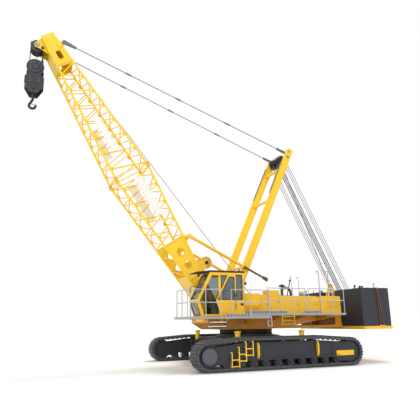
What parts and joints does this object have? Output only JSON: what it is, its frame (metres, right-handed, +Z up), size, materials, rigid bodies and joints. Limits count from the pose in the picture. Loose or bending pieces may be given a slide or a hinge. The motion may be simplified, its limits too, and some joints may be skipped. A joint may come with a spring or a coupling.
{
  "type": "crawler crane",
  "caption": "Crawler crane with a lattice boom, a raking mast with pendants, slewing upper works, operator's cab, stacked counterweights and a hook block on two wide tracks.",
  "frame": {"origin": "on the ground, at the middle of the whole crane's bounding box", "axes": "+X forward to the boom head, +Y to the crane's left side (the cab's side), +Z up"},
  "size_m": [18.2932, 7.894, 16.0347],
  "materials": {
    "yellow_paint": "gloss",
    "black_paint": "semi-gloss",
    "grey_paint": "semi-gloss",
    "track_steel": "worn",
    "bare_steel": "satin",
    "rope_steel": "greased",
    "weight_paint": "matt",
    "rail_zinc": "semi-gloss",
    "glass": "clear",
    "seat_fabric": "woven",
    "console_plastic": "matt"
  },
  "bodies": {
    "undercarriage": {"track_l": "track_steel", "track_r": "track_steel", "track_frame_l": "black_paint", "track_frame_r": "black_paint", "drive_wheel_l": "black_paint", "drive_wheel_r": "black_paint", "idler_l": "black_paint", "idler_r": "black_paint", "rollers_l": "track_steel", "rollers_r": "track_steel", "steps_l": "yellow_paint", "steps_r": "yellow_paint", "frame_lugs": "yellow_paint", "car_body": "black_paint", "ring_gear": "bare_steel", "jacks": "yellow_paint"},
    "upper": {"slew_bearing": "bare_steel", "main_frame": "yellow_paint", "counterweight_tray": "yellow_paint", "counterweight_l": "weight_paint", "counterweight_r": "weight_paint", "deck_l": "yellow_paint", "deck_r": "yellow_paint", "house_l": "yellow_paint", "house_r": "yellow_paint", "engine": "grey_paint", "cab_shell": "yellow_paint", "cab_glass": "glass", "cab_roof": "black_paint", "cab_seat": "seat_fabric", "cab_console": "console_plastic", "handrails_l": "rail_zinc", "handrails_r": "rail_zinc"},
    "cab_door": {"cab_door": "yellow_paint", "door_glass": "glass"},
    "drum_hoist": {"drum_hoist": "grey_paint"},
    "drum_luff": {"drum_luff": "grey_paint"},
    "boom": {"boom_base": "yellow_paint", "boom_top": "yellow_paint"},
    "drum_aux": {"drum_aux": "yellow_paint"},
    "head_sheaves": {"head_sheaves": "grey_paint"},
    "mast": {"mast": "yellow_paint"},
    "mast_sheaves": {"mast_sheaves": "grey_paint"},
    "pendants": {"pendants": "rope_steel"},
    "backstops": {"backstops": "yellow_paint"},
    "hook_block": {"hook_block": "black_paint", "falls": "rope_steel"},
    "block_sheaves": {"block_sheaves": "grey_paint"},
    "hook": {"hook": "black_paint"}
  },
  "joints": [
    {"name": "slew", "type": "hinge", "parent": "undercarriage", "child": "upper", "pos_m": [-2.2666, 0, 1.5], "axis": [0, 0, 1], "continuous": true},
    {"name": "boom_luff", "type": "hinge", "parent": "upper", "child": "boom", "pos_m": [-0.4166, 0, 2.43], "axis": [0, -1, 0], "range_deg": [-27, 23]},
    {"name": "mast_luff", "type": "hinge", "parent": "upper", "child": "mast", "pos_m": [-0.9366, 0, 2.5], "axis": [0, -1, 0], "range_deg": [-28, 24]},
    {"name": "pendant_hinge", "type": "hinge", "parent": "mast", "child": "pendants", "pos_m": [-4.73765, 0, 11.18482], "axis": [0, -1, 0], "range_deg": [-2, 2]},
    {"name": "backstop_hinge", "type": "hinge", "parent": "boom", "child": "backstops", "pos_m": [1.18752, 0, 6.03849], "axis": [0, -1, 0], "range_deg": [-3, 3]},
    {"name": "block_hang", "type": "hinge", "parent": "boom", "child": "hook_block", "pos_m": [8.7066, 0, 15.28505], "axis": [0, -1, 0], "range_deg": [-23, 27]},
    {"name": "hook_swivel", "type": "hinge", "parent": "hook_block", "child": "hook", "pos_m": [8.7066, 0, 12.98505], "axis": [0, 0, 1], "continuous": true},
    {"name": "head_sheave_spin", "type": "hinge", "parent": "boom", "child": "head_sheaves", "pos_m": [8.7066, 0, 15.28505], "axis": [0, 1, 0], "continuous": true},
    {"name": "block_sheave_spin", "type": "hinge", "parent": "hook_block", "child": "block_sheaves", "pos_m": [8.7066, 0, 14.08505], "axis": [0, 1, 0], "continuous": true},
    {"name": "mast_sheave_spin", "type": "hinge", "parent": "mast", "child": "mast_sheaves", "pos_m": [-4.65824, 0, 10.85894], "axis": [0, 1, 0], "continuous": true},
    {"name": "aux_drum_spin", "type": "hinge", "parent": "boom", "child": "drum_aux", "pos_m": [-0.00805, 0, 4.89519], "axis": [0, 1, 0], "continuous": true},
    {"name": "hoist_drum_spin", "type": "hinge", "parent": "upper", "child": "drum_hoist", "pos_m": [-2.9666, 0, 2.76], "axis": [0, 1, 0], "continuous": true},
    {"name": "luff_drum_spin", "type": "hinge", "parent": "upper", "child": "drum_luff", "pos_m": [-4.8666, 0, 2.76], "axis": [0, 1, 0], "continuous": true},
    {"name": "door_slide", "type": "slide", "parent": "upper", "child": "cab_door", "axis": [1, 0, 0], "range_m": [0, 0.8]}
  ],
  "couplings": [
    {"joint": "mast_luff", "follows": "boom_luff", "ratio": 1.024},
    {"joint": "pendant_hinge", "follows": "boom_luff", "ratio": -0.058},
    {"joint": "block_hang", "follows": "boom_luff", "ratio": -1}
  ]
}
